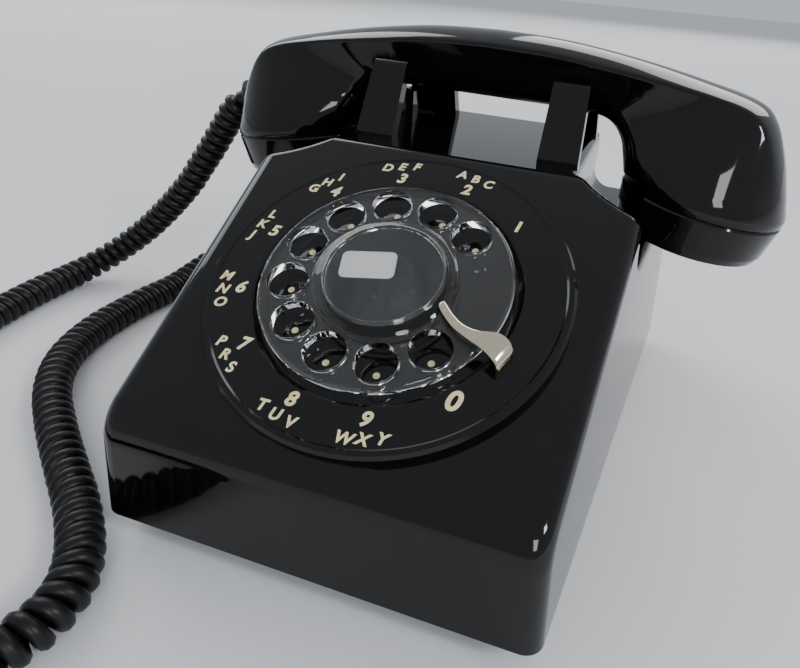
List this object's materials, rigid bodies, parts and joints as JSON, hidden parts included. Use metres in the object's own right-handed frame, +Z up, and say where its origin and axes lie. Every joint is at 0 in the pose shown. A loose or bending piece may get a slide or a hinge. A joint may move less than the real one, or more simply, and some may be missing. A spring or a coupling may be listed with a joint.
{
  "type": "rotary telephone",
  "caption": "Desk telephone with a sloping rotary dial, a liftable handset across a cradle, and a curly cord from handset to base.",
  "frame": {"origin": "on the table, under the middle of the box of the telephone without its cord", "axes": "+X to the right when facing the dial, +Y to the rear, +Z up"},
  "size_m": [0.3386, 0.2959, 0.1451],
  "materials": {
    "housing": "polished moulded black",
    "handset_black": "polished moulded black",
    "plate_black": "smooth black with cream characters",
    "clear_plastic": "clear moulded acrylic",
    "card": "dark printed card",
    "stop_metal": "plated strip",
    "rubber_black": "matte",
    "cord_black": "satin jacket",
    "zinc_steel": "zinc plated sheet",
    "cast_zinc": "die cast",
    "spring_steel": "blued strip",
    "brass": "turned",
    "contact_alloy": "spring leaf",
    "phenolic": "moulded"
  },
  "bodies": {
    "base": {"housing_shell": "housing", "base_plate": "zinc_steel", "feet": "rubber_black", "housing_screws": "zinc_steel", "screw_bosses": "zinc_steel", "line_inlet_grommet": "rubber_black", "base_cord_gland": "rubber_black", "hook_bracket": "zinc_steel", "hook_pin": "zinc_steel", "hook_contacts": "contact_alloy", "number_plate": "plate_black", "dial_frame": "cast_zinc", "dial_bracket": "zinc_steel", "drive_spring": "spring_steel", "pulse_contacts": "contact_alloy", "governor_cup": "cast_zinc", "finger_stop": "stop_metal", "finger_stop_screw": "stop_metal", "ringer_frame": "zinc_steel", "ringer_coil": "phenolic", "gong_right": "brass", "gong_left": "brass", "gong_screws": "zinc_steel", "loudness_bracket": "zinc_steel", "network_block": "zinc_steel", "terminal_board": "phenolic", "terminal_screws": "brass", "handset_cord": "cord_black"},
    "handset": {"handle_shell": "handset_black", "receiver_cap": "handset_black", "transmitter_cap": "handset_black", "receiver_unit": "cast_zinc", "transmitter_unit": "cast_zinc", "transmitter_cup": "phenolic", "handset_cord_gland": "rubber_black"},
    "plunger_r": {"plunger_right": "housing"},
    "plunger_l": {"plunger_left": "housing"},
    "lever": {"hook_lever": "zinc_steel"},
    "dial_rotor": {"finger_wheel": "clear_plastic", "number_card": "card", "card_retainer": "clear_plastic", "dial_hub": "cast_zinc", "main_gear": "brass"},
    "pulse_rotor": {"pulse_shaft": "brass", "pulse_wheel": "brass", "pulse_cam": "phenolic"},
    "governor": {"governor_shaft": "brass", "governor_weights": "brass"},
    "clapper": {"clapper": "zinc_steel"},
    "loudness": {"loudness_wheel": "phenolic"}
  },
  "joints": [
    {"name": "handset_lift", "type": "slide", "parent": "base", "child": "handset", "axis": [0, 0, 1], "range_m": [0, 0.12]},
    {"name": "plunger_right_slide", "type": "slide", "parent": "base", "child": "plunger_r", "axis": [0, 0, 1], "range_m": [0, 0.006]},
    {"name": "plunger_left_slide", "type": "slide", "parent": "base", "child": "plunger_l", "axis": [0, 0, 1], "range_m": [0, 0.006]},
    {"name": "hook_lever_turn", "type": "hinge", "parent": "base", "child": "lever", "pos_m": [0, 0.012, 0.084], "axis": [1, 0, 0], "range_deg": [0, 8.59]},
    {"name": "dial_spin", "type": "hinge", "parent": "base", "child": "dial_rotor", "pos_m": [0, -0.0532, 0.0788], "axis": [0, -0.4772, 0.8788], "range_deg": [-325, 0], "stiffness_Nm_per_rad": 0.004, "springref_deg": 20.05},
    {"name": "pulse_spin", "type": "hinge", "parent": "base", "child": "pulse_rotor", "pos_m": [-0.02898, -0.06002, 0.07509], "axis": [0, -0.4772, 0.8788], "range_deg": [0, 1300]},
    {"name": "governor_spin", "type": "hinge", "parent": "base", "child": "governor", "pos_m": [-0.02277, -0.0804, 0.06403], "axis": [0, -0.4772, 0.8788], "range_deg": [-2600, 0]},
    {"name": "clapper_swing", "type": "hinge", "parent": "base", "child": "clapper", "pos_m": [0, -0.038, 0.022], "axis": [0, 0, 1], "range_deg": [-4, 4], "stiffness_Nm_per_rad": 0.002},
    {"name": "loudness_turn", "type": "hinge", "parent": "base", "child": "loudness", "pos_m": [0.056, -0.04, 0.02], "axis": [0, 1, 0], "range_deg": [-60, 60]}
  ],
  "couplings": [
    {"joint": "plunger_right_slide", "follows": "handset_lift", "ratio": 0.05},
    {"joint": "plunger_left_slide", "follows": "handset_lift", "ratio": 0.05},
    {"joint": "hook_lever_turn", "follows": "handset_lift", "rad_per_m": 1.25},
    {"joint": "pulse_spin", "follows": "dial_spin", "ratio": -4},
    {"joint": "governor_spin", "follows": "dial_spin", "ratio": 8}
  ]
}
